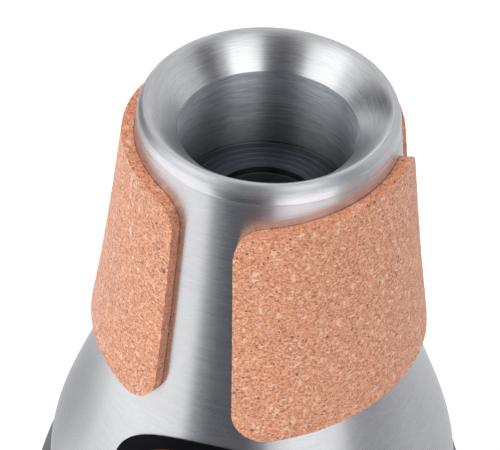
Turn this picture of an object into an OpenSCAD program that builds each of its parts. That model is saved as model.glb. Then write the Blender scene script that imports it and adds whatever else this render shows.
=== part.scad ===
// Practice mute for a tenor trombone: spun neck shell with a rolled mouth, a bored throat,
// three curved cork pads and a moulded lower shell closed by a vented base plate.
// Millimetres. The origin is the centre of the base, +Z runs up the axis to the mouth.
// Azimuths are counted from -Y, the front, towards +X.

/* [Overall] */
// Height from the base to the crest of the mouth
overall_h = 204.2; // [195:0.2:225]

/* [Mouth ring] */
// Outer diameter of the mouth
mouth_d = 64; // [62:0.5:68]
// Distance of the crest inside the outer edge
lip_width = 2; // [1.2:0.1:2.4]
// Depth at which the rolled lip reaches the outer edge, below the crest
lip_drop = 2.2; // [1.6:0.1:3]
// Depth at which the flare meets the bore, below the crest
flare_depth = 7.7; // [7:0.1:9]
// Slope at which the flare meets the bore, from the level
flare_angle = 50; // [46:0.5:60]
// Depth of the seam between mouth ring and neck shell, below the crest
mouth_seam = 4.6; // [4:0.1:6]
// Length of the spigot that enters the neck shell
spigot_len = 6.5; // [4:0.5:9]
// Wall of the spigot and of the socket that holds the sleeve
ring_wall = 1.5; // [1:0.1:2]

/* [Throat] */
// Diameter of the bore
bore_d = 44.2; // [41:0.2:45]
// Depth of the end of the bore, below the crest
bore_depth = 30.4; // [28:0.2:40]
// Wall of the throat sleeve
sleeve_wall = 1.5; // [1:0.1:2]
// Length of the sleeve that is gripped in the mouth ring
sleeve_grip = 6; // [4:0.5:8]
// Width of the groove between the end of the bore and the floor
groove_w = 0.8; // [0.5:0.1:1.5]
// Thickness of the throat floor
floor_t = 2; // [1.5:0.1:3]
// How far the floor dishes down towards its opening
floor_dish = 1.2; // [0.4:0.1:2.5]
// Number of shallow turned steps across the floor
floor_rings = 5; // [3:1:7]
// Length of the floor's rim around the sleeve
floor_rim = 5; // [4:0.5:7]
// Diameter of the opening in the floor, and of the inner tube
opening_d = 28; // [24:0.5:31]
// Wall of the inner tube
tube_wall = 1; // [0.8:0.1:1.5]
// Length of the inner tube
tube_len = 60; // [45:1:75]
// Length of the socket that holds the inner tube
tube_grip = 6; // [4:0.5:8]

/* [Neck shell] */
// Wall of the spun shell
shell_wall = 1.2; // [0.8:0.1:1.6]
// Half angle of the neck at the mouth
neck_top_angle = 7.5; // [6:0.1:9]
// Outer diameter at the foot of the neck
neck_foot_d = 87.6; // [85:0.2:90]
// Depth of the foot of the neck, below the crest
neck_foot_depth = 79.9; // [78:0.1:84]
// Half angle at the foot of the neck
neck_foot_angle = 12.2; // [10:0.1:14]
// Outer diameter at the end of the shoulder
shoulder_d = 115.4; // [112:0.2:119]
// Depth of the end of the shoulder, below the crest
shoulder_depth = 124.2; // [121:0.2:130]
// Half angle at the end of the shoulder
shoulder_angle = 4.8; // [3:0.1:7]

/* [Lower shell] */
// Largest outer diameter of the mute
lower_d = 134.5; // [130:0.5:142]
// Wall of the moulded lower shell
lower_wall = 2.4; // [2:0.1:3]
// Half angle at which the lower shell leaves the seam
lower_angle = 20; // [14:0.5:24]
// Length of the spigot that enters the neck shell
lower_spigot = 8; // [5:0.5:11]
// Width of the rounded lower corner
corner_w = 18; // [14:0.5:22]
// Height of the rounded lower corner
corner_h = 33; // [26:0.5:38]
// Width of the flat foot ring
foot_w = 6; // [4:0.5:8]
// Thickness of the seam gasket
gasket_t = 1; // [0.6:0.1:1.6]

/* [Base plate] */
// Thickness of the base plate
base_t = 1.5; // [1:0.1:2]
// Width of the flat rim that rests inside the foot ring
base_rim = 8; // [6.5:0.5:11]
// Height by which the plate's centre panel is pressed up
base_rise = 1.6; // [1:0.1:3]
// Diameter of each vent
vent_d = 3.5; // [2.5:0.1:5]
// Number of vents
vents = 3; // [2:1:6]
// Diameter of the circle of vents
vent_circle_d = 66; // [60:1:70]

/* [Felts] */
// Diameter of the felt disc on the base plate
felt_disc_d = 52; // [44:1:54]
// Thickness of the felts
felt_t = 3; // [2:0.5:5]
// Height of the felt band inside the lower shell
felt_band_h = 24; // [16:1:30]

/* [Cork pads] */
// Thickness of the cork
cork_t = 3; // [2:0.1:4]
// Angle that each pad covers at its middle height
pad_angle = 96.4; // [80:0.2:104]
// Azimuth of the middle of the front pad
front_pad_turn = 38.8; // [32:0.2:44]
// Azimuth of the middle of the back pad
back_pad_turn = 157.2; // [150:0.2:164]
// Azimuth of the middle of the left pad
left_pad_turn = -84.3; // [-90:0.1:-78]
// Angle by which the front pad is glued askew, its right side up
front_pad_twist = 4; // [-5:0.5:5]
// Angle by which the left pad is glued askew, its right side up
left_pad_twist = -1; // [-5:0.5:5]
// Depth of the top edge at the middle of a pad, below the crest
pad_top_depth = 8.3; // [7.8:0.1:12]
// Height of a pad at its middle
pad_h = 60.2; // [50:0.1:64]
// Angle by which a straight sheet edge, once wrapped, lies in a plane tilted from the level
pad_edge_angle = 8.6; // [6:0.2:12]
// Angle by which the sides of a pad lean in towards the mouth
pad_side_lean = 1.6; // [0:0.1:4]
// Radius of the upper corners
pad_top_r = 7.5; // [5:0.5:12]
// Radius of the lower corners
pad_foot_r = 8; // [6:0.5:14]

/* [Label] */
// Width of the oval label, measured straight across
label_w = 57; // [44:1:62]
// Bare metal between the foot of the pads and the label
label_top_gap = 8.8; // [6:0.1:14]
// Bare metal between the label and the end of the shoulder
label_foot_gap = 7.9; // [5:0.1:14]
// Thickness of the label foil
label_t = 0.3; // [0.2:0.05:0.5]
// Azimuth of the middle of the label
label_turn = -12.6; // [-20:0.2:0]

/* [Hidden] */

$fn = 96;
// Clearance of a pressed or glued joint
fit = 0.05;
// Thickness of the film of adhesive under the cork and the label
glue = 0.1;
// How far the arc of a pad's corner cuts across its edges instead of only touching them
corner_bite = 0.08;
// Size of a cutting block that reaches past everything
reach = 160;
// Steps along a curved stretch of an outline
steps = 14;

mouth_r = mouth_d / 2;
bore_r = bore_d / 2;
sleeve_r = bore_r + sleeve_wall;
opening_r = opening_d / 2;
tube_r = opening_r + tube_wall;
shoulder_r = shoulder_d / 2;
lower_r = lower_d / 2;
foot_r = lower_r - corner_w;
floor_depth = bore_depth + groove_w;
tube_top_depth = floor_depth + floor_dish + floor_t;
ledge_depth = shoulder_depth + gasket_t;
widest_depth = overall_h - corner_h;
panel_z = lower_wall + base_rise;
pad_foot_depth = pad_top_depth + pad_h;
label_top_depth = pad_foot_depth + label_top_gap;
label_foot_depth = shoulder_depth - label_foot_gap;
pad_middle_z = overall_h - (pad_top_depth + pad_foot_depth) / 2;
COLOUR_METAL = [0.76, 0.77, 0.79];
COLOUR_CORK = [0.80, 0.56, 0.42];
COLOUR_DARK = [0.22, 0.23, 0.26];
COLOUR_FELT = [0.35, 0.35, 0.37];

// A smooth curve through two knots, each [depth, radius, half angle]
function span_at(k, d) = (d - k[0][0]) / (k[1][0] - k[0][0]);
function curve_r(k, d) =
    let (t = span_at(k, d), run = k[1][0] - k[0][0])
    k[0][1] * (2 * pow(t, 3) - 3 * pow(t, 2) + 1) + run * tan(k[0][2]) * (pow(t, 3) - 2 * pow(t, 2) + t)
    + k[1][1] * (3 * pow(t, 2) - 2 * pow(t, 3)) + run * tan(k[1][2]) * (pow(t, 3) - pow(t, 2));
function curve_slope(k, d) =
    let (t = span_at(k, d), run = k[1][0] - k[0][0])
    (k[1][1] - k[0][1]) / run * 6 * (t - pow(t, 2)) + tan(k[0][2]) * (3 * pow(t, 2) - 4 * t + 1)
    + tan(k[1][2]) * (3 * pow(t, 2) - 2 * t);

NECK = [[mouth_seam, mouth_r, neck_top_angle], [neck_foot_depth, neck_foot_d / 2, neck_foot_angle]];
SHOULDER = [NECK[1], [shoulder_depth, shoulder_r, shoulder_angle]];
LOWER = [[ledge_depth, shoulder_r, lower_angle], [widest_depth, lower_r, 0]];

// Radius of a surface that lies gap outside the neck shell at a depth
function part_of_neck(d) = d < neck_foot_depth ? NECK : SHOULDER;
function neck_r(d, gap = 0) =
    let (k = part_of_neck(d))
    curve_r(k, d) + gap * sqrt(1 + pow(curve_slope(k, d), 2));
// Radius of a surface that lies gap outside the lower shell at a depth
function lower_r_at(d, gap = 0) = curve_r(LOWER, d) + gap * sqrt(1 + pow(curve_slope(LOWER, d), 2));

function steps_between(a, b, n = steps) = [for (i = [0 : n]) a + (b - a) * i / n];
function outline_point(radius, depth) = [radius, overall_h - depth];
function neck_line(d0, d1, gap, n = steps) =
    [for (d = steps_between(d0, d1, n)) outline_point(neck_r(d, gap), d)];
function reversed(list) = [for (i = [len(list) - 1 : -1 : 0]) list[i]];

module revolve(outline) {
    rotate_extrude() polygon(outline);
}

// Turns a shape that faces +X to an azimuth
module at_azimuth(turn) {
    rotate([0, 0, turn - 90]) children();
}

// Stands a flat shape up so that it is extruded outwards along +X
module outwards(length) {
    rotate([90, 0, 90]) linear_extrude(length) children();
}

// Turned ring: rolled lip, flare, spigot into the neck shell and socket for the sleeve
module mouth_ring() {
    crest_r = mouth_r - lip_width;
    crest = outline_point(crest_r, 0);
    flare_foot = outline_point(bore_r, flare_depth);
    // Point at which the level line at the crest and the straight foot of the flare would meet
    bend = outline_point(min(bore_r + flare_depth / tan(flare_angle), crest_r - 0.3), 0);
    spigot_end = mouth_seam + spigot_len;
    socket_end = flare_depth + sleeve_grip;
    color(COLOUR_METAL)
    revolve(concat(
        [for (a = steps_between(0, 90))
            outline_point(crest_r + lip_width * cos(a), lip_drop * (1 - sin(a)))],
        [for (t = steps_between(1 / (2 * steps), 1, 2 * steps - 1))
            pow(1 - t, 2) * crest + 2 * t * (1 - t) * bend + pow(t, 2) * flare_foot],
        [outline_point(sleeve_r + fit, flare_depth),
         outline_point(sleeve_r + fit, socket_end),
         outline_point(sleeve_r + ring_wall, socket_end),
         outline_point(sleeve_r + ring_wall, flare_depth),
         outline_point(neck_r(mouth_seam, -shell_wall) - fit - ring_wall, flare_depth),
         outline_point(neck_r(spigot_end, -shell_wall) - fit - ring_wall, spigot_end),
         outline_point(neck_r(spigot_end, -shell_wall) - fit, spigot_end),
         outline_point(neck_r(mouth_seam, -shell_wall) - fit, mouth_seam),
         outline_point(mouth_r, mouth_seam)]));
}

// Spun shell: tapered neck, hollow curve and round shoulder
module neck_shell() {
    color(COLOUR_METAL)
    revolve(concat(
        neck_line(mouth_seam, neck_foot_depth, 0),
        neck_line(neck_foot_depth, shoulder_depth, 0, 2 * steps),
        reversed(neck_line(neck_foot_depth, shoulder_depth, -shell_wall, 2 * steps)),
        reversed(neck_line(mouth_seam, neck_foot_depth, -shell_wall))));
}

// Plain tube pressed up into the mouth ring, its inside is the bore
module throat_sleeve() {
    color(COLOUR_METAL)
    revolve([
        outline_point(bore_r, flare_depth + fit), outline_point(sleeve_r, flare_depth + fit),
        outline_point(sleeve_r, bore_depth), outline_point(bore_r, bore_depth)]);
}

// Turned cup under the sleeve: rim, stepped and dished floor, socket for the inner tube
module throat_floor() {
    rim_top = bore_depth - floor_rim;
    under = tube_top_depth;
    socket_end = under + tube_grip;
    ring_run = (bore_r - opening_r) / floor_rings;
    ring_drop = floor_dish / floor_rings;
    color(COLOUR_METAL)
    revolve(concat(
        [outline_point(sleeve_r + fit, rim_top), outline_point(sleeve_r + ring_wall, rim_top),
         outline_point(sleeve_r + ring_wall, under), outline_point(tube_r + ring_wall, under),
         outline_point(tube_r + ring_wall, socket_end), outline_point(tube_r + fit, socket_end),
         outline_point(tube_r + fit, under), outline_point(opening_r, under),
         outline_point(opening_r, floor_depth + floor_dish)],
        [for (i = [floor_rings - 1 : -1 : 0], side = [0, 1])
            outline_point(bore_r - (i + 1 - side) * ring_run,
                          floor_depth + i * ring_drop + (side == 0 ? ring_drop / 2 : 0))],
        [outline_point(sleeve_r + fit, floor_depth)]));
}

// Plain tube that carries the air from the floor down into the body
module inner_tube() {
    color(COLOUR_METAL)
    translate([0, 0, overall_h - tube_top_depth - tube_len - fit])
    rotate_extrude() translate([opening_r, 0]) square([tube_wall, tube_len]);
}

// Cuts a pad's corner round. The corner is the origin, +Y leads along the edge towards the middle of
// the pad, climb is the slope of the edge there and lean is that of the side
module corner_cutter(r, climb, lean, upper) {
    along_edge = [cos(climb), sin(climb)];
    along_side = (upper ? -1 : 1) * [sin(lean), cos(lean)];
    half_angle = acos(along_edge * along_side) / 2;
    inwards = (along_edge + along_side) / norm(along_edge + along_side);
    centre = inwards * (r - corner_bite) / sin(half_angle);
    touch = r / tan(half_angle);
    outwards(reach) difference() {
        polygon([centre, touch * along_edge, touch * along_edge - r * along_side,
                 -r * (along_edge + along_side),
                 touch * along_side - r * along_edge, touch * along_side]);
        translate(centre) circle(r);
    }
}

// Height of a pad's tilted and twisted edge, at an angle from the middle of the pad
function edge_height(edge_z, edge_r, turn, twist) =
    pad_middle_z + (edge_z - pad_middle_z - edge_r * (1 - cos(turn)) * tan(pad_edge_angle)
                    + edge_r * sin(turn) * sin(twist)) / cos(twist);

// Cuts one side of a pad and its two corners. The side lies towards -Y and twist raises it
module side_cutter(twist) {
    half = pad_angle / 2;
    lean = pad_side_lean + twist;
    rotate([0, 0, -half]) translate([0, 0, pad_middle_z]) rotate([-lean, 0, 0])
        translate([0, -reach, -reach / 2]) cube(reach);
    for (upper = [true, false]) {
        depth = upper ? pad_top_depth : pad_foot_depth;
        edge_r = neck_r(depth, glue + cork_t);
        edge_z = overall_h - depth;
        drop = pad_middle_z - edge_height(edge_z, edge_r, half, twist);
        turn = half + asin(drop * tan(lean) / edge_r);
        climb = atan((tan(pad_edge_angle) * sin(turn) - sin(twist) * cos(turn)) / cos(twist));
        rotate([0, 0, -turn]) translate([0, 0, edge_height(edge_z, edge_r, turn, twist)])
            corner_cutter(upper ? pad_top_r : pad_foot_r, climb, lean, upper);
    }
}

// A cork pad that faces +X: a band of the neck's own curve, cut by two tilted planes, which is how
// the straight edges of a sheet lie on a cone, and by a plane at each side. Twist turns the sheet
// about its middle, its +Y side up
module cork_pad(turn, twist) {
    tilt = tan(pad_edge_angle);
    top_z = overall_h - pad_top_depth;
    foot_z = overall_h - pad_foot_depth;
    top_r = neck_r(pad_top_depth, glue + cork_t);
    foot_pad_r = neck_r(pad_foot_depth, glue + cork_t);
    band_top = max(pad_top_depth - 3, mouth_seam);
    band_foot = pad_foot_depth + 8;
    spread = pad_angle + 24;
    color(COLOUR_CORK)
    at_azimuth(turn) difference() {
        intersection() {
            rotate([0, 0, -spread / 2]) rotate_extrude(angle = spread)
                polygon(concat(neck_line(band_top, band_foot, glue + cork_t),
                               reversed(neck_line(band_top, band_foot, glue))));
            translate([0, 0, pad_middle_z]) rotate([twist, 0, 0])
                translate([0, reach / 2, -pad_middle_z]) rotate([90, 0, 0]) linear_extrude(reach) polygon([
                    [0, top_z - top_r * tilt], [0, foot_z - foot_pad_r * tilt],
                    [reach, foot_z + (reach - foot_pad_r) * tilt],
                    [reach, top_z + (reach - top_r) * tilt]]);
        }
        side_cutter(-twist);
        mirror([0, 1, 0]) side_cutter(twist);
    }
}

module cork_pad_front() {
    cork_pad(front_pad_turn, front_pad_twist);
}

module cork_pad_back() {
    cork_pad(back_pad_turn, 0);
}

module cork_pad_left() {
    cork_pad(left_pad_turn, left_pad_twist);
}

// Oval foil that follows the curve of the shoulder, without any mark on it
module oval_label() {
    label_h = label_foot_depth - label_top_depth;
    step = 90 / steps;
    top = label_top_depth - 1;
    foot = label_foot_depth + 1;
    color(COLOUR_DARK)
    at_azimuth(label_turn) intersection() {
        rotate([0, 0, -60]) rotate_extrude(angle = 120)
            polygon(concat(neck_line(top, foot, glue + label_t), reversed(neck_line(top, foot, glue))));
        translate([0, 0, overall_h - label_foot_depth + label_h / 2]) outwards(reach)
            polygon([for (i = [1 : 4 * steps])
                [label_w / 2 * cos(i * step), label_h / 2 * sin(i * step)]]);
    }
}

// Flat ring on the ledge of the lower shell, under the edge of the neck shell
module seam_gasket() {
    inner_r = neck_r(shoulder_depth, -shell_wall);
    outer_r = shoulder_r - glue;
    color(COLOUR_DARK)
    revolve([
        outline_point(inner_r, shoulder_depth + fit), outline_point(outer_r, shoulder_depth + fit),
        outline_point(outer_r, ledge_depth - fit), outline_point(inner_r, ledge_depth - fit)]);
}

// Moulded shell: spigot and ledge, flaring side, round lower corner and flat foot ring
module lower_shell() {
    spigot_top = shoulder_depth - lower_spigot;
    spigot_gap = -shell_wall - fit;
    inside_top = ledge_depth + lower_wall;
    corner_centre = [foot_r, corner_h];
    color(COLOUR_DARK)
    revolve(concat(
        neck_line(spigot_top, shoulder_depth, spigot_gap, steps / 2),
        [outline_point(neck_r(shoulder_depth, spigot_gap), ledge_depth)],
        [for (d = steps_between(ledge_depth, widest_depth, 2 * steps))
            outline_point(lower_r_at(d), d)],
        [for (a = steps_between(0, -90)) corner_centre + [corner_w * cos(a), corner_h * sin(a)]],
        [[foot_r - foot_w, 0], [foot_r - foot_w, lower_wall]],
        [for (a = steps_between(-90, 0))
            corner_centre + [(corner_w - lower_wall) * cos(a), (corner_h - lower_wall) * sin(a)]],
        [for (d = steps_between(widest_depth, inside_top, 2 * steps))
            outline_point(lower_r_at(d, -lower_wall), d)],
        reversed(neck_line(spigot_top, shoulder_depth, spigot_gap - lower_wall, steps / 2))));
}

// Felt band glued round the inside of the lower shell, above the round corner
module wall_felt() {
    top = widest_depth - felt_band_h;
    outer_gap = -lower_wall - glue;
    color(COLOUR_FELT)
    revolve(concat(
        [for (d = steps_between(top, widest_depth)) outline_point(lower_r_at(d, outer_gap), d)],
        [for (d = steps_between(widest_depth, top))
            outline_point(lower_r_at(d, outer_gap - felt_t), d)]));
}

// Pressed plate with a raised centre panel and a circle of vents, laid inside the foot ring
module base_plate() {
    plate_r = foot_r - 2 * fit;
    panel_r = plate_r - base_rim;
    slope_run = base_rise;
    color(COLOUR_METAL)
    difference() {
        revolve([
            [0, panel_z], [panel_r - slope_run, panel_z], [panel_r, lower_wall + fit],
            [plate_r, lower_wall + fit], [plate_r, lower_wall + fit + base_t],
            [panel_r, lower_wall + fit + base_t], [panel_r - slope_run, panel_z + base_t],
            [0, panel_z + base_t]]);
        for (i = [0 : vents - 1])
            at_azimuth(i * 360 / vents) translate([vent_circle_d / 2, 0, 0])
                cylinder(d = vent_d, h = 2 * (panel_z + base_t));
    }
}

// Felt disc glued on the middle of the base plate, inside the circle of vents
module damping_disc() {
    color(COLOUR_FELT)
    translate([0, 0, panel_z + base_t + glue]) cylinder(d = felt_disc_d, h = felt_t);
}

mouth_ring();
neck_shell();
throat_sleeve();
throat_floor();
inner_tube();
cork_pad_front();
cork_pad_back();
cork_pad_left();
oval_label();
seam_gasket();
lower_shell();
wall_felt();
base_plate();
damping_disc();
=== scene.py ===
import bisect
import math

import bpy
from mathutils import Matrix, Vector, noise


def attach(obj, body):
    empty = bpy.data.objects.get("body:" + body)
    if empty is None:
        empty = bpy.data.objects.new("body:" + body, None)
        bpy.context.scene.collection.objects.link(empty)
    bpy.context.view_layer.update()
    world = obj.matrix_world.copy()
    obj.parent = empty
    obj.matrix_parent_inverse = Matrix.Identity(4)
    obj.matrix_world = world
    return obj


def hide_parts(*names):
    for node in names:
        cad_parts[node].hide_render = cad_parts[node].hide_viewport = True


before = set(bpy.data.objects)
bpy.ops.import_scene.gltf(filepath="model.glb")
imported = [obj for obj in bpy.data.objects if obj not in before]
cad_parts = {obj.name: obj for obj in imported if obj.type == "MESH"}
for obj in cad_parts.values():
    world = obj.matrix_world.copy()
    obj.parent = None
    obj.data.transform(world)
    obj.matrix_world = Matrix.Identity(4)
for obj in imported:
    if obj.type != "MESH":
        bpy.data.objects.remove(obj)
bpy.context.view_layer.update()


# The mouth ring
# A ring turned from aluminium bar: its lip rolls down outside, and inside a flare curves in to the bore.
# Its spigot is pressed into the neck shell, which leaves a fine seam under the lip.
mm = 0.001
# Sizes are in millimetres, and a depth is counted down from the crest of the mouth.
crest = 204.2
mouth_radius, bore_radius = 32.0, 22.1
lip_width, lip_drop = 2.0, 4.5
crest_radius = mouth_radius - lip_width
flare_depth, flare_angle = 7.7, 50
mouth_seam, spigot_length = 4.6, 6.5
ring_wall, press_gap = 1.5, 0.05
sleeve_wall, sleeve_grip = 1.5, 6.0
# The spigot follows the inside of the neck shell. The outer line of that shell runs through the mouth,
# the foot of the neck and the end of the shoulder, each given as (depth, radius, half angle).
shell_wall = 1.2
mouth_angle = 7.5
neck_foot_depth, neck_foot_radius, neck_foot_angle = 79.9, 43.8, 12.2
shoulder_depth, shoulder_radius, shoulder_angle = 124.2, 57.7, 4.8
neck_knots = [
    (mouth_seam, mouth_radius, mouth_angle),
    (neck_foot_depth, neck_foot_radius, neck_foot_angle),
    (shoulder_depth, shoulder_radius, shoulder_angle),
]


def smooth_line(knots, depth, gap=0.0):
    """Radius of a smooth line through (depth, radius, half angle) knots, gap outside it."""
    above = knots[0] if depth <= knots[1][0] or len(knots) == 2 else knots[1]
    below = knots[knots.index(above) + 1]
    run = below[0] - above[0]
    t = (depth - above[0]) / run
    slope_above, slope_below = math.tan(math.radians(above[2])), math.tan(math.radians(below[2]))
    radius = (above[1] * (2 * t**3 - 3 * t**2 + 1) + run * slope_above * (t**3 - 2 * t**2 + t)
              + below[1] * (3 * t**2 - 2 * t**3) + run * slope_below * (t**3 - t**2))
    slope = ((below[1] - above[1]) / run * 6 * (t - t**2) + slope_above * (3 * t**2 - 4 * t + 1)
             + slope_below * (3 * t**2 - 2 * t))
    return radius + gap * math.sqrt(1 + slope**2)


def arc_points(centre, across, up, start, end, steps):
    """Points on an arc of an ellipse, as (radius, height), between two angles in degrees."""
    turn = [math.radians(start + (end - start) * i / steps) for i in range(steps + 1)]
    return [(centre[0] + across * math.cos(a), centre[1] + up * math.sin(a)) for a in turn]


def ease_edges(piece, width, sharper_than):
    """Rounds the edges that are sharper than an angle in degrees."""
    ease = piece.modifiers.new("eased edges", "BEVEL")
    ease.limit_method = "ANGLE"
    ease.angle_limit = math.radians(sharper_than)
    ease.width = width * mm
    ease.segments = 3
    bpy.ops.object.modifier_apply(modifier=ease.name)


def spin_piece(name, outline, around=240, edge=0.15):
    """Turns an outline of (radius, height) points into a closed piece with eased edges."""
    bpy.ops.object.select_all(action="DESELECT")
    bpy.ops.mesh.primitive_plane_add(size=mm, location=(0, 0, 0))
    piece = bpy.context.object
    piece.name = name
    bpy.ops.object.mode_set(mode="EDIT")
    bpy.ops.mesh.select_all(action="SELECT")
    bpy.ops.mesh.merge(type="CENTER")
    here = (0.0, 0.0)
    for index, there in enumerate(outline):
        step = ((there[0] - here[0]) * mm, 0, (there[1] - here[1]) * mm)
        if index == 0:
            bpy.ops.transform.translate(value=step)
        else:
            bpy.ops.mesh.extrude_region_move(TRANSFORM_OT_translate={"value": step})
        here = there
    step = ((outline[0][0] - here[0]) * mm, 0, (outline[0][1] - here[1]) * mm)
    bpy.ops.mesh.extrude_region_move(TRANSFORM_OT_translate={"value": step})
    bpy.ops.mesh.select_all(action="SELECT")
    bpy.ops.mesh.remove_doubles(threshold=0.001 * mm)
    bpy.ops.mesh.spin(steps=around, angle=math.tau, center=(0, 0, 0), axis=(0, 0, 1))
    bpy.ops.mesh.select_all(action="SELECT")
    bpy.ops.mesh.remove_doubles(threshold=0.002 * mm)
    bpy.ops.mesh.normals_make_consistent(inside=False)
    bpy.ops.object.mode_set(mode="OBJECT")
    if edge:
        ease_edges(piece, edge, sharper_than=32)
    bpy.ops.object.shade_smooth_by_angle(angle=math.radians(28))
    return piece


# The flare leaves the crest level and meets the bore at its own angle.
flare_steps = 60
flare_bend = bore_radius + flare_depth / math.tan(math.radians(flare_angle))
flare = []
for i in range(1, flare_steps + 1):
    t = i / flare_steps
    flare.append(((1 - t)**2 * crest_radius + 2 * t * (1 - t) * flare_bend + t**2 * bore_radius,
                  crest - t**2 * flare_depth))

sleeve_radius = bore_radius + sleeve_wall
socket_radius, socket_outer = sleeve_radius + press_gap, sleeve_radius + ring_wall
neck_inside = -shell_wall - press_gap
spigot_top = smooth_line(neck_knots, mouth_seam, neck_inside)
spigot_foot = smooth_line(neck_knots, mouth_seam + spigot_length, neck_inside)
seam, shelf = crest - mouth_seam, crest - flare_depth
spigot_end, socket_end = seam - spigot_length, shelf - sleeve_grip
mouth_outline = arc_points((crest_radius, crest - lip_drop), lip_width, lip_drop, 0, 90, steps=30) + flare
mouth_outline += [
    (socket_radius, shelf), (socket_radius, socket_end), (socket_outer, socket_end), (socket_outer, shelf),
    (spigot_top - ring_wall, shelf), (spigot_foot - ring_wall, spigot_end), (spigot_foot, spigot_end),
    (spigot_top, seam), (mouth_radius, seam),
]
mouth = spin_piece("mouth_turned", mouth_outline, edge=0.015)


def new_finish(name):
    """A new material, its node tree, its shader and the place of each point on the piece."""
    material = bpy.data.materials.new(name)
    material.use_nodes = True
    tree = material.node_tree
    place = tree.nodes.new("ShaderNodeTexCoord").outputs["Object"]
    return material, tree, tree.nodes["Principled BSDF"], place


def grains(tree, place, scale, detail=2.0, distortion=0.0):
    """Clouds or grains of noise, so many to the metre."""
    texture = tree.nodes.new("ShaderNodeTexNoise")
    texture.inputs["Scale"].default_value = scale
    texture.inputs["Detail"].default_value = detail
    texture.inputs["Distortion"].default_value = distortion
    tree.links.new(place, texture.inputs["Vector"])
    return texture


def reckoned(tree, operation, first, second):
    """Two amounts reckoned together, of which the second may be a plain number."""
    node = tree.nodes.new("ShaderNodeMath")
    node.operation = operation
    tree.links.new(first, node.inputs[0])
    if isinstance(second, float):
        node.inputs[1].default_value = second
    else:
        tree.links.new(second, node.inputs[1])
    return node.outputs[0]


def spread(tree, amount, start, end, low, high, curve="LINEAR"):
    """The amount's range from start to end, spread from low to high."""
    node = tree.nodes.new("ShaderNodeMapRange")
    node.interpolation_type = curve
    for socket, value in (("From Min", start), ("From Max", end), ("To Min", low), ("To Max", high)):
        node.inputs[socket].default_value = value
    tree.links.new(amount, node.inputs["Value"])
    return node.outputs["Result"]


def toned(tree, amount, stops):
    """Colour that runs through (amount, colour) stops."""
    node = tree.nodes.new("ShaderNodeValToRGB")
    ends = node.color_ramp.elements
    for end, (position, colour) in zip((ends[0], ends[1]), (stops[0], stops[-1])):
        end.position = position
        end.color = (*colour, 1)
    for position, colour in stops[1:-1]:
        stop = ends.new(position)
        stop.color = (*colour, 1)
    tree.links.new(amount, node.inputs["Fac"])
    return node.outputs["Color"]


def blended(tree, share, first, second):
    """Two amounts mixed, with a share of the second."""
    node = tree.nodes.new("ShaderNodeMix")
    node.inputs["Factor"].default_value = share
    tree.links.new(first, node.inputs["A"])
    tree.links.new(second, node.inputs["B"])
    return node.outputs["Result"]


def put_relief(tree, height, strength, depth):
    """Gives the surface a relief of a depth in millimetres."""
    bump = tree.nodes.new("ShaderNodeBump")
    bump.inputs["Strength"].default_value = strength
    bump.inputs["Distance"].default_value = depth * mm
    tree.links.new(height, bump.inputs["Height"])
    tree.links.new(bump.outputs["Normal"], tree.nodes["Principled BSDF"].inputs["Normal"])


def turned_metal(name, tint, roughness, anisotropy, fine, coarse, depth, streak, painted_shade=None):
    """Bare aluminium with rings left by the tool or the abrasive, which follow the piece round its axis.

    fine and coarse say how close the two sorts of rings lie, depth how deep they are in millimetres and
    streak how much darker they are. Where the last argument is given as (low height, high height, tone),
    the colour darkens to that tone at the low height: painted shade.
    """
    metal, tree, shader, place = new_finish(name)
    shader.inputs["Metallic"].default_value = 1.0
    shader.inputs["Anisotropic"].default_value = anisotropy
    shader.inputs["Anisotropic Rotation"].default_value = 0.25
    split = tree.nodes.new("ShaderNodeSeparateXYZ")
    tree.links.new(place, split.inputs[0])
    flat = tree.nodes.new("ShaderNodeCombineXYZ")
    tree.links.new(split.outputs["X"], flat.inputs["X"])
    tree.links.new(split.outputs["Y"], flat.inputs["Y"])
    radius = tree.nodes.new("ShaderNodeVectorMath")
    radius.operation = "LENGTH"
    tree.links.new(flat.outputs[0], radius.inputs[0])

    def rings(across, along, detail):
        """Noise that is fine across the rings and long along them."""
        where = tree.nodes.new("ShaderNodeCombineXYZ")
        for axis, source, scale in (
            ("X", radius.outputs["Value"], across),
            ("Y", split.outputs["Z"], across),
            ("Z", split.outputs["X"], along),
        ):
            tree.links.new(reckoned(tree, "MULTIPLY", source, scale), where.inputs[axis])
        texture = tree.nodes.new("ShaderNodeTexNoise")
        texture.noise_dimensions = "4D"
        tree.links.new(where.outputs[0], texture.inputs["Vector"])
        tree.links.new(reckoned(tree, "MULTIPLY", split.outputs["Y"], along), texture.inputs["W"])
        texture.inputs["Scale"].default_value = 1.0
        texture.inputs["Detail"].default_value = detail
        texture.inputs["Roughness"].default_value = 0.62
        return texture.outputs["Fac"]

    fine_rings = rings(across=fine, along=240.0, detail=3.0)
    coarse_rings = rings(across=coarse, along=26.0, detail=2.0)
    scratches = blended(tree, 0.25, fine_rings, coarse_rings)
    worn_tint = [value * (1 - streak) for value in tint]
    colour = toned(tree, scratches, [(0.30, worn_tint), (0.62, tint)])
    # Painted shade: the colour is scaled down towards the low height.
    if painted_shade:
        low, high, tone = painted_shade
        darker = tree.nodes.new("ShaderNodeVectorMath")
        darker.operation = "SCALE"
        tree.links.new(colour, darker.inputs[0])
        share = spread(tree, split.outputs["Z"], low * mm, high * mm, tone, 1.0)
        tree.links.new(share, darker.inputs["Scale"])
        colour = darker.outputs[0]
    tree.links.new(colour, shader.inputs["Base Color"])
    handled = blended(tree, 0.35, scratches, grains(tree, place, 38.0, detail=4.0).outputs["Fac"])
    rough = spread(tree, handled, 0.25, 0.75, roughness - 0.05, roughness + 0.07)
    tree.links.new(rough, shader.inputs["Roughness"])
    put_relief(tree, scratches, 0.5, depth)
    return metal


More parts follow.
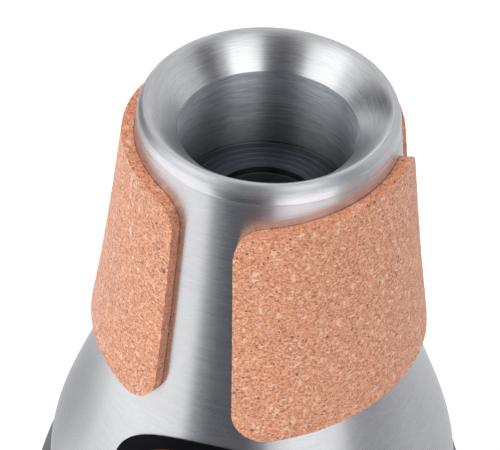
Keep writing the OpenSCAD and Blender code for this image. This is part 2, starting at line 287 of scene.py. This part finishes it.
bright_turned = turned_metal(
    "bright turned aluminium", tint=(0.82, 0.825, 0.84), roughness=0.22, anisotropy=0.90,
    fine=4200.0, coarse=900.0, depth=0.018, streak=0.22)
brushed_turned = turned_metal(
    "brushed turned aluminium", tint=(0.82, 0.827, 0.845), roughness=0.40, anisotropy=0.80,
    fine=4200.0, coarse=800.0, depth=0.014, streak=0.18)
# The lip's side gets a lighter tint than the rest of the ring: a painted highlight.
fine_turned_highlit = turned_metal(
    "fine turned aluminium", tint=(0.93, 0.937, 0.955), roughness=0.25, anisotropy=0.96,
    fine=4200.0, coarse=800.0, depth=0.014, streak=0.18)
mouth.data.materials.append(bright_turned)
mouth.data.materials.append(brushed_turned)
mouth.data.materials.append(fine_turned_highlit)
# The flare is bright, the top of the lip brushed and its side fine, with a lighter tint as a painted
# highlight.
lip_start, lip_side = crest_radius + 0.3, crest - 1.7
for face in mouth.data.polygons:
    if math.hypot(face.center.x, face.center.y) > lip_start * mm:
        face.material_index = 1 if face.center.z > lip_side * mm else 2
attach(mouth, "root")
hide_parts("mouth_ring")


# The throat sleeve
# A short aluminium sleeve pressed up into the mouth ring, whose inside is the bore.
# The boring tool leaves coarser rings than those on the lip. The bore's tint is raised above the neck's
# as painted light, and its colour darkens towards its foot as painted shade.
bore_depth = 30.4
sleeve_top, sleeve_foot = shelf - press_gap, crest - bore_depth
sleeve = spin_piece("throat_sleeve_turned", [
    (bore_radius, sleeve_top), (sleeve_radius, sleeve_top),
    (sleeve_radius, sleeve_foot), (bore_radius, sleeve_foot),
], edge=0.18)
# Painted light in the raised tint, and painted shade in the fade down to the foot.
bore_turned = turned_metal(
    "bored aluminium", tint=(0.90, 0.95, 1.0), roughness=0.48, anisotropy=1.0,
    fine=3000.0, coarse=620.0, depth=0.110, streak=0.45, painted_shade=(crest - 32, crest - 10, 0.34))
sleeve.data.materials.append(bore_turned)
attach(sleeve, "root")
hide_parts("throat_sleeve")


# The throat floor
# An aluminium disc turned with shallow steps that dish down to its opening, coloured very dark as painted
# shade at the bottom of the bore. Its rim is pressed over the foot of the sleeve, with a groove between the
# two, and a socket below holds the inner tube.
groove_width = 0.8
floor_thickness, floor_dish, floor_rim = 2.0, 1.2, 5.0
floor_rings, step_slope = 5, 0.25
opening_radius = 14.0
tube_wall, tube_grip = 1.0, 6.0
tube_radius = opening_radius + tube_wall
tube_socket, tube_socket_outer = tube_radius + press_gap, tube_radius + ring_wall
floor_rim_top = sleeve_foot + floor_rim
floor_top = sleeve_foot - groove_width
floor_foot = floor_top - floor_dish - floor_thickness
floor_outline = [
    (socket_radius, floor_rim_top), (socket_outer, floor_rim_top), (socket_outer, floor_foot),
    (tube_socket_outer, floor_foot), (tube_socket_outer, floor_foot - tube_grip),
    (tube_socket, floor_foot - tube_grip), (tube_socket, floor_foot), (opening_radius, floor_foot),
    (opening_radius, floor_top - floor_dish),
]
# Each turned step is level, rises by half its height on a narrow slope and by the other half upright.
ring_pitch, ring_drop = (bore_radius - opening_radius) / floor_rings, floor_dish / floor_rings
for ring in range(floor_rings, 0, -1):
    inner_edge, outer_edge = bore_radius - ring * ring_pitch, bore_radius - (ring - 1) * ring_pitch
    slope_top = floor_top - (ring - 1) * ring_drop
    floor_outline += [
        (inner_edge, slope_top - ring_drop / 2), (outer_edge - step_slope, slope_top - ring_drop / 2),
        (outer_edge, slope_top),
    ]
floor_outline += [(socket_radius, floor_top)]
throat_floor = spin_piece("throat_floor_turned", floor_outline, edge=0.2)
# The very dark tint is painted shade at the bottom of the bore.
shaded_floor_metal = turned_metal(
    "dull turned aluminium", tint=(0.15, 0.16, 0.19), roughness=0.36, anisotropy=0.92,
    fine=3000.0, coarse=700.0, depth=0.012, streak=0.40)
throat_floor.data.materials.append(shaded_floor_metal)
throat_floor.data.materials.append(bore_turned)
# The groove and the rim round the sleeve have the finish of the bore.
groove_start = bore_radius + 0.2
for face in throat_floor.data.polygons:
    if math.hypot(face.center.x, face.center.y) > groove_start * mm:
        face.material_index = 1
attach(throat_floor, "root")
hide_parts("throat_floor")


# The inner tube
# A drawn aluminium tube that hangs from the floor into the body and lets only a little air through.
# It is pressed into the socket under the floor.
tube_length = 60.0
tube_top = floor_foot - press_gap
tube_foot = tube_top - tube_length
tube = spin_piece("inner_tube_drawn", [
    (opening_radius, tube_top), (tube_radius, tube_top),
    (tube_radius, tube_foot), (opening_radius, tube_foot),
], around=160, edge=0.2)
drawn = turned_metal(
    "drawn aluminium tube", tint=(0.30, 0.31, 0.33), roughness=0.55, anisotropy=0.20,
    fine=500.0, coarse=120.0, depth=0.02, streak=0.25)
tube.data.materials.append(drawn)
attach(tube, "root")
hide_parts("inner_tube")


# The neck shell
# Sheet aluminium spun over a former: a slim tapered neck that runs out in a round shoulder.
# It is finished with fine abrasive while it turns, so all its scratches run round the axis.
def line_between(knots, start, end, gap, steps):
    """Points of a smooth line between two depths, as (radius, height)."""
    depths = [start + (end - start) * i / steps for i in range(steps + 1)]
    return [(smooth_line(knots, depth, gap), crest - depth) for depth in depths]


neck_outline = line_between(neck_knots, mouth_seam, neck_foot_depth, 0, steps=60)
neck_outline += line_between(neck_knots, neck_foot_depth, shoulder_depth, 0, steps=50)[1:]
neck_outline += line_between(neck_knots, shoulder_depth, neck_foot_depth, -shell_wall, steps=40)
neck_outline += line_between(neck_knots, neck_foot_depth, mouth_seam, -shell_wall, steps=40)[1:]
neck = spin_piece("neck_spun", neck_outline, around=256, edge=0.015)
spun = turned_metal(
    "spun satin aluminium", tint=(0.81, 0.82, 0.84), roughness=0.27, anisotropy=0.96,
    fine=4600.0, coarse=800.0, depth=0.015, streak=0.19)
neck.data.materials.append(spun)
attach(neck, "root")
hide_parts("neck_shell")


# The cork pads
# Three pads cut from 3 mm pressed cork sheet with round corners, wrapped on the cone of the neck and
# glued by hand, the front one four degrees askew. The cut edges are coloured darker as painted shade and
# break out a little.
cork_thickness = 3.0
glue_film = 0.1
pad_height = 61.1
pad_half_top, pad_half_foot = 26.7, 36.0
pad_top_corner, pad_foot_corner = 7.5, 8.0
pad_middle = 39.0
pad_lean = (pad_half_foot - pad_half_top) / pad_height
# The sine of the neck's half angle, which sets how a flat sheet bows when it is wrapped.
cone = 0.15
# The surface of the neck as (distance along it, depth), from the seam to well below the pads.
meridian_step, meridian_end = 0.1, 85.0
meridian = [(0.0, mouth_seam)]
while meridian[-1][1] < meridian_end:
    depth = meridian[-1][1] + meridian_step
    radius_above = smooth_line(neck_knots, depth - meridian_step, glue_film)
    run = smooth_line(neck_knots, depth, glue_film) - radius_above
    meridian.append((meridian[-1][0] + math.hypot(run, meridian_step), depth))


def depth_along(distance):
    """Depth of the point at a distance down the neck's surface from the seam of the mouth."""
    index = min(max(bisect.bisect_right(meridian, (distance, 0)) - 1, 0), len(meridian) - 2)
    here, there = meridian[index], meridian[index + 1]
    return here[1] + (there[1] - here[1]) * (distance - here[0]) / (there[0] - here[0])


def half_width(distance):
    """Half width of the flat pad at a distance from its top; round corners run smoothly into the sides."""
    slant = math.hypot(1, pad_lean)
    for corner, reach, lean in (
        (pad_top_corner, distance, -pad_lean), (pad_foot_corner, pad_height - distance, pad_lean),
    ):
        if reach < corner * (1 + lean / slant):
            level = corner if lean < 0 else pad_height - corner
            centre = pad_half_top + pad_lean * level - corner * slant
            return centre + math.sqrt(max(corner**2 - (corner - reach)**2, 0))
    return pad_half_top + pad_lean * distance


def wrapped_sheet(name, columns, rows, turn_and_depth, thickness, edge, even):
    """A sheet wrapped on the neck and thickened outwards, given where each point of its grid lies."""
    bpy.ops.object.select_all(action="DESELECT")
    bpy.ops.mesh.primitive_grid_add(x_subdivisions=columns, y_subdivisions=rows, size=mm)
    piece = bpy.context.object
    piece.name = name
    for index, vertex in enumerate(piece.data.vertices):
        row, column = divmod(index, columns + 1)
        turn, depth = turn_and_depth(row, column)
        radius = smooth_line(neck_knots, depth, glue_film)
        vertex.co = (radius * math.sin(turn) * mm, -radius * math.cos(turn) * mm, (crest - depth) * mm)
    bpy.ops.object.mode_set(mode="EDIT")
    bpy.ops.mesh.select_all(action="SELECT")
    bpy.ops.mesh.normals_make_consistent(inside=False)
    bpy.ops.object.mode_set(mode="OBJECT")
    middle = piece.data.polygons[len(piece.data.polygons) // 2]
    if middle.normal.x * middle.center.x + middle.normal.y * middle.center.y < 0:
        piece.data.flip_normals()
    sheet = piece.modifiers.new("sheet", "SOLIDIFY")
    sheet.thickness = thickness * mm
    sheet.offset = 1.0
    sheet.use_even_offset = even
    bpy.ops.object.modifier_apply(modifier=sheet.name)
    ease_edges(piece, edge, sharper_than=50)
    return piece


middle_distance = next(distance for distance, depth in meridian if depth >= pad_middle)
cone_reach = smooth_line(neck_knots, pad_middle, glue_film) / cone
corner_rows, straight_rows, pad_columns = 12, 64, 104
corner_turns = [math.pi / 2 * i / corner_rows for i in range(corner_rows + 1)]
pad_rows = [pad_top_corner * (1 - math.cos(a)) for a in corner_turns]
for i in range(1, straight_rows):
    pad_rows.append(pad_top_corner + (pad_height - pad_top_corner - pad_foot_corner) * i / straight_rows)
pad_rows += [pad_height - pad_foot_corner * (1 - math.cos(a)) for a in reversed(corner_turns)]
worn_edge = 0.45
# The cork crumbles only above this height over the glue, so that the pad still lies flat on the neck.
crumble_start = 0.3
crumble_scale, crumble_depth = 1400.0, 0.07


def cork_pad(name, middle_turn, askew):
    """A flat sheet with round corners, turned askew and wrapped on the neck, with crumbled edges."""
    def turn_and_depth(row, column):
        distance = pad_rows[row]
        flat_x, flat_y = (2 * column / pad_columns - 1) * half_width(distance), distance - pad_height / 2
        sideways = flat_x * math.cos(askew) + flat_y * math.sin(askew)
        down = flat_y * math.cos(askew) - flat_x * math.sin(askew) + cone_reach
        depth = depth_along(middle_distance + math.hypot(sideways, down) - cone_reach)
        return middle_turn + math.atan2(sideways, down) / cone, depth

    piece = wrapped_sheet(
        name, pad_columns, len(pad_rows) - 1, turn_and_depth, cork_thickness, worn_edge, even=True)
    for vertex in piece.data.vertices:
        outwards = Vector((vertex.co.x, vertex.co.y, 0))
        neck_radius = smooth_line(neck_knots, crest - vertex.co.z / mm, glue_film)
        if outwards.length / mm - neck_radius > crumble_start:
            vertex.co += noise.noise_vector(vertex.co * crumble_scale) * crumble_depth * mm
    bpy.ops.object.shade_smooth_by_angle(angle=math.radians(40))
    return piece


# Without a seed of its own the noise would differ from run to run.
noise.seed_set(1)
pads = {
    "cork_pad_front": cork_pad("cork_front", math.radians(38.8), math.radians(4.0)),
    "cork_pad_back": cork_pad("cork_back", math.radians(157.2), 0.0),
    "cork_pad_left": cork_pad("cork_left", math.radians(-84.3), math.radians(-1.0)),
}

cork, tree, shader, place = new_finish("pressed cork")
shader.inputs["Specular IOR Level"].default_value = 0.22
shader.inputs["Roughness"].default_value = 0.82
shader.inputs["Sheen Weight"].default_value = 0.20
shader.inputs["Sheen Roughness"].default_value = 0.6
crumb = grains(tree, place, 1700.0, detail=4.0, distortion=0.8)
crumb.inputs["Roughness"].default_value = 0.80


def cork_spots(scale, squeeze, share, near, far):
    """Scattered spots: a share of the grains of one size, from full at near to none at far of a grain."""
    bend = tree.nodes.new("ShaderNodeVectorMath")
    bend.operation = "MULTIPLY_ADD"
    bend.inputs[1].default_value = (0.7 / scale, 0.7 / scale, 0.7 / scale)
    tree.links.new(grains(tree, place, scale * 1.7).outputs["Color"], bend.inputs[0])
    tree.links.new(place, bend.inputs[2])
    lie = tree.nodes.new("ShaderNodeMapping")
    lie.inputs["Rotation"].default_value = (0.25, 0.20, 0.30)
    lie.inputs["Scale"].default_value = (1, 1, squeeze)
    tree.links.new(bend.outputs[0], lie.inputs["Vector"])
    grain = tree.nodes.new("ShaderNodeTexVoronoi")
    grain.inputs["Scale"].default_value = scale
    tree.links.new(lie.outputs[0], grain.inputs["Vector"])
    pick = tree.nodes.new("ShaderNodeSeparateColor")
    tree.links.new(grain.outputs["Color"], pick.inputs[0])
    fade = spread(tree, grain.outputs["Distance"], near, far, 1.0, 0.0)
    return reckoned(tree, "MULTIPLY", fade, reckoned(tree, "LESS_THAN", pick.outputs[1], share))


def stained(surface, spots, colour, strength):
    """The surface colour with the spots laid over it."""
    layer = tree.nodes.new("ShaderNodeMix")
    layer.data_type = "RGBA"
    layer.inputs["B"].default_value = (*colour, 1)
    tree.links.new(surface, layer.inputs["A"])
    tree.links.new(reckoned(tree, "MULTIPLY", spots, strength), layer.inputs["Factor"])
    return layer.outputs["Result"]


pale_flecks = cork_spots(scale=440.0, squeeze=2.4, share=0.20, near=0.24, far=0.42)
upright_flecks = cork_spots(scale=620.0, squeeze=0.5, share=0.20, near=0.24, far=0.42)
red_blotches = cork_spots(scale=760.0, squeeze=1.3, share=0.20, near=0.18, far=0.50)
bark_lines = cork_spots(scale=1500.0, squeeze=1.8, share=0.30, near=0.22, far=0.42)
dark_pores = cork_spots(scale=620.0, squeeze=1.2, share=0.17, near=0.15, far=0.25)
surface = toned(tree, crumb.outputs["Fac"], [
    (0.33, (0.26, 0.075, 0.035)), (0.44, (0.60, 0.235, 0.130)), (0.54, (0.82, 0.385, 0.225)),
    (0.69, (1.0, 0.62, 0.43)),
])
pale_cork = (0.88, 0.59, 0.42)
surface = stained(surface, pale_flecks, pale_cork, 0.80)
surface = stained(surface, upright_flecks, pale_cork, 0.70)
surface = stained(surface, red_blotches, (0.44, 0.12, 0.06), 0.65)
surface = stained(surface, bark_lines, (0.22, 0.085, 0.05), 0.85)
surface = stained(surface, dark_pores, (0.085, 0.05, 0.035), 0.90)
tree.links.new(surface, shader.inputs["Base Color"])
relief = reckoned(tree, "SUBTRACT", crumb.outputs["Fac"], bark_lines)
put_relief(tree, reckoned(tree, "SUBTRACT", relief, dark_pores), 0.6, 0.20)

# The cut edges get a darker copy of the cork, as painted shade.
shaded_cut_cork = cork.copy()
shaded_cut_cork.name = "cut edge of the cork"
tree = shaded_cut_cork.node_tree
shader = tree.nodes["Principled BSDF"]
darker = tree.nodes.new("ShaderNodeVectorMath")
darker.operation = "MULTIPLY"
darker.inputs[1].default_value = (0.90, 0.80, 0.75)
tree.links.new(shader.inputs["Base Color"].links[0].from_socket, darker.inputs[0])
tree.links.new(darker.outputs[0], shader.inputs["Base Color"])
# A face that looks out of the neck, or into it, less than this is a cut edge.
least_outwards = 0.7
for node_name, piece in pads.items():
    piece.data.materials.append(cork)
    piece.data.materials.append(shaded_cut_cork)
    for face in piece.data.polygons:
        outwards = Vector((face.center.x, face.center.y, 0)).normalized()
        if abs(face.normal.dot(outwards)) < least_outwards:
            face.material_index = 1
    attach(piece, "root")
    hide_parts(node_name)


# The label
# An oval of black half gloss foil, stuck on the shoulder below the gap between two pads. It has one
# thin orange oval line inside its edge and is bare within it.
label_turn = math.radians(-12.6)
label_half_width, label_half_height = 28.5, 19.5
label_depth = 96.8
label_thickness, label_edge = 0.3, 0.1
label_grid = 56


def turn_and_depth_of_label(row, column):
    """Where a point of the label's square grid lies, once it is drawn in to an ellipse."""
    u, v = 2 * column / label_grid - 1, 2 * row / label_grid - 1
    sideways = u * math.sqrt(1 - v * v / 2) * label_half_width
    depth = label_depth - v * math.sqrt(1 - u * u / 2) * label_half_height
    return label_turn + math.asin(sideways / smooth_line(neck_knots, depth, glue_film)), depth


label = wrapped_sheet(
    "label_oval", label_grid, label_grid, turn_and_depth_of_label, label_thickness, label_edge, even=False)
bpy.ops.object.shade_smooth_by_angle(angle=math.radians(40))

black_foil, tree, shader, place = new_finish("black label foil")
square = tree.nodes.new("ShaderNodeMapping")
square.vector_type = "TEXTURE"
square.inputs["Location"].default_value = (0, 0, (crest - label_depth) * mm)
square.inputs["Rotation"].default_value = (0, 0, label_turn)
square.inputs["Scale"].default_value = (label_half_width * mm, 1, label_half_height * mm)
tree.links.new(place, square.inputs["Vector"])
flatten = tree.nodes.new("ShaderNodeVectorMath")
flatten.operation = "MULTIPLY"
flatten.inputs[1].default_value = (1, 0, 1)
tree.links.new(square.outputs[0], flatten.inputs[0])
out = tree.nodes.new("ShaderNodeVectorMath")
out.operation = "LENGTH"
tree.links.new(flatten.outputs[0], out.inputs[0])
# The edges of the line and their blur, as shares of the way from the label's middle to its edge.
line_inside, line_outside, line_blur = 0.796, 0.830, 0.008
black, orange = (0.003, 0.003, 0.004), (0.62, 0.12, 0.012)
ink = toned(tree, out.outputs["Value"], [
    (0.0, black), (line_inside - line_blur, black), (line_inside, orange), (line_outside, orange),
    (line_outside + line_blur, black), (1.0, black),
])
tree.links.new(ink, shader.inputs["Base Color"])
grease = grains(tree, place, 160.0, detail=4.0).outputs["Fac"]
tree.links.new(spread(tree, grease, 0.0, 1.0, 0.42, 0.58), shader.inputs["Roughness"])
shader.inputs["Specular IOR Level"].default_value = 0.05
put_relief(tree, grains(tree, place, 2400.0).outputs["Fac"], 0.25, 0.01)
label.data.materials.append(black_foil)
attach(label, "root")
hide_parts("oval_label")


# The lower shell
# A dark moulded body with a satin skin, whose spigot enters the neck shell. The side flares to its
# widest place, turns in at a large round corner and ends in a flat foot ring.
lower_radius, lower_wall = 67.25, 2.4
lower_angle, lower_spigot = 20.0, 8.0
corner_width, corner_height = 18.0, 33.0
foot_width = 6.0
gasket_thickness = 1.0
ledge_depth = shoulder_depth + gasket_thickness
widest_depth = crest - corner_height
inner_top_depth = ledge_depth + lower_wall
spigot_start = shoulder_depth - lower_spigot
foot_radius = lower_radius - corner_width
foot_inner = foot_radius - foot_width
corner_centre = (foot_radius, corner_height)
lower_knots = [(ledge_depth, shoulder_radius, lower_angle), (widest_depth, lower_radius, 0.0)]
lower_outline = line_between(neck_knots, spigot_start, shoulder_depth, neck_inside, steps=8)
lower_outline += [(smooth_line(neck_knots, shoulder_depth, neck_inside), crest - ledge_depth)]
lower_outline += line_between(lower_knots, ledge_depth, widest_depth, 0, steps=44)
lower_outline += arc_points(corner_centre, corner_width, corner_height, 0, -90, steps=36)[1:]
lower_outline += [(foot_inner, 0.0), (foot_inner, lower_wall)]
lower_outline += arc_points(
    corner_centre, corner_width - lower_wall, corner_height - lower_wall, -90, 0, steps=28)
lower_outline += line_between(lower_knots, widest_depth, inner_top_depth, -lower_wall, steps=24)[1:]
lower_outline += line_between(neck_knots, shoulder_depth, spigot_start, neck_inside - lower_wall, steps=6)
lower = spin_piece("lower_moulded", lower_outline, around=256, edge=0.3)
moulded, tree, shader, place = new_finish("dark satin moulding")
skin = grains(tree, place, 1700.0, detail=3.0).outputs["Fac"]
flow = grains(tree, place, 26.0, detail=4.0).outputs["Fac"]
moulded_colour = toned(tree, flow, [(0.3, (0.058, 0.064, 0.080)), (0.7, (0.070, 0.077, 0.094))])
tree.links.new(moulded_colour, shader.inputs["Base Color"])
tree.links.new(spread(tree, flow, 0.0, 1.0, 0.34, 0.52), shader.inputs["Roughness"])
put_relief(tree, skin, 0.35, 0.03)
lower.data.materials.append(moulded)
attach(lower, "root")
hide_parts("lower_shell")


# The seam gasket
# A thin ring cut from black rubber. It lies on the ledge of the lower shell and seals the seam when
# the neck shell is pushed home.
gasket_inner, gasket_outer = smooth_line(neck_knots, shoulder_depth, -shell_wall), shoulder_radius - 0.1
gasket_top, gasket_foot = crest - shoulder_depth - press_gap, crest - ledge_depth + press_gap
gasket = spin_piece("seam_gasket_cut", [
    (gasket_inner, gasket_top), (gasket_outer, gasket_top),
    (gasket_outer, gasket_foot), (gasket_inner, gasket_foot),
], around=192, edge=0.12)
rubber, tree, shader, place = new_finish("black gasket rubber")
dust = grains(tree, place, 900.0, detail=4.0).outputs["Fac"]
rubber_colour = toned(tree, dust, [(0.0, (0.020, 0.020, 0.022)), (1.0, (0.045, 0.045, 0.048))])
tree.links.new(rubber_colour, shader.inputs["Base Color"])
shader.inputs["Roughness"].default_value = 0.72
put_relief(tree, dust, 0.4, 0.03)
gasket.data.materials.append(rubber)
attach(gasket, "root")
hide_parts("seam_gasket")


# The felts
# A band glued round the inside of the lower shell and a disc glued on the base plate, both cut from
# 3 mm grey pressed wool felt. They damp the shell and are hidden once the mute is closed.
felt_thickness = 3.0
band_height = 24.0
disc_radius = 26.0
plate_thickness, panel_rise = 1.5, 1.6
panel_foot = lower_wall + panel_rise
panel_top = panel_foot + plate_thickness
felt, tree, shader, place = new_finish("grey wool felt")
wool = grains(tree, place, 1300.0, detail=6.0, distortion=1.4).outputs["Fac"]
felt_colour = toned(tree, wool, [(0.3, (0.075, 0.075, 0.082)), (0.72, (0.19, 0.19, 0.20))])
tree.links.new(felt_colour, shader.inputs["Base Color"])
shader.inputs["Roughness"].default_value = 0.95
shader.inputs["Sheen Weight"].default_value = 0.35
put_relief(tree, wool, 0.8, 0.25)
band_top, band_glued = widest_depth - band_height, -lower_wall - glue_film
band_outline = line_between(lower_knots, band_top, widest_depth, band_glued, steps=16)
band_outline += line_between(lower_knots, widest_depth, band_top, band_glued - felt_thickness, steps=16)
band = spin_piece("wall_felt_band", band_outline, around=160, edge=0.6)
disc_foot = panel_top + glue_film
disc_top = disc_foot + felt_thickness
disc = spin_piece("felt_disc", [
    (0.0, disc_foot), (disc_radius, disc_foot), (disc_radius, disc_top), (0.0, disc_top),
], around=128, edge=0.7)
for piece, node_name in ((band, "wall_felt"), (disc, "damping_disc")):
    piece.data.materials.append(felt)
    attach(piece, "root")
    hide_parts(node_name)


# The base plate
# A pressed aluminium plate with a raised panel, laid inside the foot ring and finished like the neck.
# Three small vents in the panel let the air out.
plate_radius, rim_width = foot_radius - 2 * press_gap, 8.0
rim_inner, rim_foot = plate_radius - rim_width, lower_wall + press_gap
rim_top = rim_foot + plate_thickness
vent_count, vent_radius, vent_circle_radius = 3, 1.75, 33.0
drill_length, drill_middle = 12.0, 4.5
# A soft bend joins the panel to the rim, first from below and then from above.
plate_outline = [
    (0.0, panel_foot), (38.4, panel_foot), (39.2, 3.75), (40.3, 2.75), (rim_inner, rim_foot),
    (plate_radius, rim_foot), (plate_radius, rim_top),
    (rim_inner, rim_top), (40.7, 4.15), (39.6, 5.2), (39.0, panel_top), (0.0, panel_top),
]
plate = spin_piece("base_pressed", plate_outline, around=192, edge=0.0)
for vent in range(vent_count):
    azimuth = math.radians(360 / vent_count * vent)
    across, back = vent_circle_radius * mm * math.sin(azimuth), -vent_circle_radius * mm * math.cos(azimuth)
    bpy.ops.object.select_all(action="DESELECT")
    bpy.ops.mesh.primitive_cylinder_add(
        vertices=48, radius=vent_radius * mm, depth=drill_length * mm,
        location=(across, back, drill_middle * mm))
    drill = bpy.context.object
    bpy.context.view_layer.objects.active = plate
    hole = plate.modifiers.new("vent", "BOOLEAN")
    hole.operation = "DIFFERENCE"
    hole.solver = "EXACT"
    hole.object = drill
    bpy.ops.object.modifier_apply(modifier=hole.name)
    bpy.data.objects.remove(drill)
bpy.ops.object.select_all(action="DESELECT")
plate.select_set(True)
bpy.context.view_layer.objects.active = plate
bpy.ops.object.shade_smooth_by_angle(angle=math.radians(40))
plate.data.materials.append(spun)
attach(plate, "root")
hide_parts("base_plate")


# The camera
# It stands in front of the mute and looks down into the mouth, as in the photograph.
# Its distance and its shifts are in radii of the mouth, from a point just above the crest.
lift, tilt = math.radians(42.43), math.radians(2.51)
distance, shift_right, shift_up = 13.0, -0.149, -0.938
target = (0, 0, 205 * mm)
focal_pixels, photo_width, sensor_width = 1741.0, 500.0, 36.0
away = (0.0, -math.cos(lift), math.sin(lift))
upright = (0.0, math.sin(lift), math.cos(lift))
side_axis = (math.cos(tilt), math.sin(tilt) * upright[1], math.sin(tilt) * upright[2])
top_axis = (-math.sin(tilt), math.cos(tilt) * upright[1], math.cos(tilt) * upright[2])
unit = mouth_radius * mm
stand = [
    unit * (shift_right * side_axis[i] + shift_up * top_axis[i] + distance * away[i]) + target[i]
    for i in range(3)
]
lens = bpy.data.cameras.new("camera")
lens.sensor_fit = "HORIZONTAL"
lens.sensor_width = sensor_width
lens.lens = focal_pixels / photo_width * sensor_width
lens.clip_start = 0.01
camera = bpy.data.objects.new("camera", lens)
bpy.context.scene.collection.objects.link(camera)
camera.matrix_world = Matrix((
    (side_axis[0], top_axis[0], away[0], stand[0]),
    (side_axis[1], top_axis[1], away[1], stand[1]),
    (side_axis[2], top_axis[2], away[2], stand[2]),
    (0, 0, 0, 1),
))
bpy.context.scene.camera = camera


# The studio
# A white table that runs out to a white background, a wide soft box on each side of the camera, and a
# dark gap between them where the camera stands.
table_radius, table_height = 4.0, -0.0002
bpy.ops.object.select_all(action="DESELECT")
bpy.ops.mesh.primitive_circle_add(
    vertices=96, radius=table_radius, fill_type="NGON", location=(0, 0, table_height))
table = bpy.context.object
table.name = "table"
bpy.ops.object.transform_apply(location=True, rotation=True, scale=True)
# The metal mirrors the light below the horizon, which the world gives, and not the table.
table.visible_glossy = False
white = bpy.data.materials.new("white table")
white.use_nodes = True
shader = white.node_tree.nodes["Principled BSDF"]
shader.inputs["Base Color"].default_value = (0.9, 0.9, 0.9, 1)
shader.inputs["Roughness"].default_value = 0.9
shader.inputs["Emission Color"].default_value = (1, 1, 1, 1)
shader.inputs["Emission Strength"].default_value = 0.35
table.data.materials.append(white)

world = bpy.data.worlds.new("studio")
bpy.context.scene.world = world
world.use_nodes = True
tree = world.node_tree
background = tree.nodes["Background"]
way = tree.nodes.new("ShaderNodeSeparateXYZ")
tree.links.new(tree.nodes.new("ShaderNodeTexCoord").outputs["Generated"], way.inputs[0])
forward = reckoned(tree, "MULTIPLY", way.outputs["Y"], -1.0)
azimuth = reckoned(tree, "ARCTAN2", way.outputs["X"], forward)
around = spread(tree, azimuth, -math.pi, math.pi, 0.0, 1.0)
blue_cast = 0.015


def light_band(stops):
    """Brightness round the horizon, as (degrees from the front towards +X, brightness)."""
    ramp = tree.nodes.new("ShaderNodeValToRGB")
    ramp.color_ramp.interpolation = "EASE"
    ends = ramp.color_ramp.elements
    ends[0].position, ends[1].position = 0.0, 1.0
    ends[0].color = ends[1].color = (stops[0][1], stops[0][1], stops[0][1] + blue_cast, 1)
    for degrees, brightness in stops[1:]:
        stop = ends.new((degrees + 180) / 360)
        stop.color = (brightness, brightness, brightness + blue_cast, 1)
    tree.links.new(around, ramp.inputs["Fac"])
    return ramp.outputs["Color"]


low_band = light_band([
    (-180, 0.80), (-158, 0.80), (-140, 0.68), (-126, 0.74), (-113, 1.02), (-100, 1.14),
    (-78, 1.13), (-62, 1.10), (-48, 1.00), (-40, 0.14), (-30, 0.05), (-6, 0.04), (4, 0.22),
    (13, 1.00), (25, 1.34), (55, 1.28), (64, 0.56), (74, 0.38), (88, 0.36), (110, 0.48),
    (140, 0.63), (165, 0.78),
])
level_band = light_band([
    (-180, 0.80), (-168, 0.94), (-156, 0.66), (-144, 0.20), (-132, 0.06), (-120, 0.06),
    (-108, 0.18), (-96, 0.66), (-84, 0.88), (-60, 0.84), (-46, 0.70), (-36, 0.46), (-26, 0.28),
    (-12, 0.24), (0, 0.26), (9, 0.38), (18, 0.48), (46, 0.48), (60, 0.38), (72, 0.38),
    (90, 0.54), (105, 0.64), (132, 0.62), (160, 0.68),
])
high_band = light_band([
    (-180, 0.64), (-165, 0.68), (-135, 0.63), (-108, 0.66), (-92, 0.88), (-78, 1.50),
    (-58, 1.50), (-46, 1.25), (-36, 0.36), (-28, 0.11), (-14, 0.05), (0, 0.10), (8, 0.40),
    (16, 1.45), (28, 1.75), (46, 1.65), (56, 0.56), (70, 0.12), (80, 0.16), (92, 0.54),
    (105, 0.64), (135, 0.63), (165, 0.56),
])
upper_band = light_band([
    (-180, 0.68), (-60, 0.70), (-45, 0.68), (-34, 0.40), (-22, 0.13), (-8, 0.09), (4, 0.20),
    (14, 0.54), (28, 0.76), (60, 0.50), (90, 0.57), (140, 0.63),
])


def between(start, end, lower_light, upper_light):
    """One light below the height start, another above the height end, and a smooth change between."""
    mixed = tree.nodes.new("ShaderNodeMix")
    mixed.data_type = "RGBA"
    share = spread(tree, way.outputs["Z"], start, end, 0.0, 1.0, curve="SMOOTHSTEP")
    tree.links.new(share, mixed.inputs["Factor"])
    tree.links.new(lower_light, mixed.inputs["A"])
    tree.links.new(upper_light, mixed.inputs["B"])
    return mixed.outputs["Result"]


# Heights run from -1 straight below to 1 straight above, with 0 at the horizon.
ceiling = tree.nodes.new("ShaderNodeRGB")
ceiling.outputs[0].default_value = (0.60, 0.60, 0.61, 1)
walls = between(-0.42, -0.18, low_band, level_band)
walls = between(0.25, 0.52, walls, high_band)
walls = between(0.72, 0.82, walls, upper_band)
room = between(0.87, 0.96, walls, ceiling.outputs[0])
# The camera itself sees plain white behind the mute.
seen = tree.nodes.new("ShaderNodeMix")
seen.data_type = "RGBA"
seen.inputs["B"].default_value = (1.0, 1.0, 1.0, 1)
tree.links.new(tree.nodes.new("ShaderNodeLightPath").outputs["Is Camera Ray"], seen.inputs["Factor"])
tree.links.new(room, seen.inputs["A"])
tree.links.new(seen.outputs["Result"], background.inputs["Color"])
background.inputs["Strength"].default_value = 1.0

# One soft box overhead adds light from above, and the metal doesn't mirror it.
bpy.ops.object.select_all(action="DESELECT")
bpy.ops.object.light_add(type="AREA", location=(-0.35, -0.25, 1.3))
overhead = bpy.context.object
overhead.name = "overhead soft box"
overhead.data.shape = "DISK"
overhead.data.size = 0.9
overhead.data.energy = 9.0
overhead.rotation_euler = (math.radians(-10), math.radians(-15), 0)
overhead.visible_glossy = False

bpy.context.scene.view_settings.view_transform = "Standard"
bpy.context.scene.view_settings.look = "None"
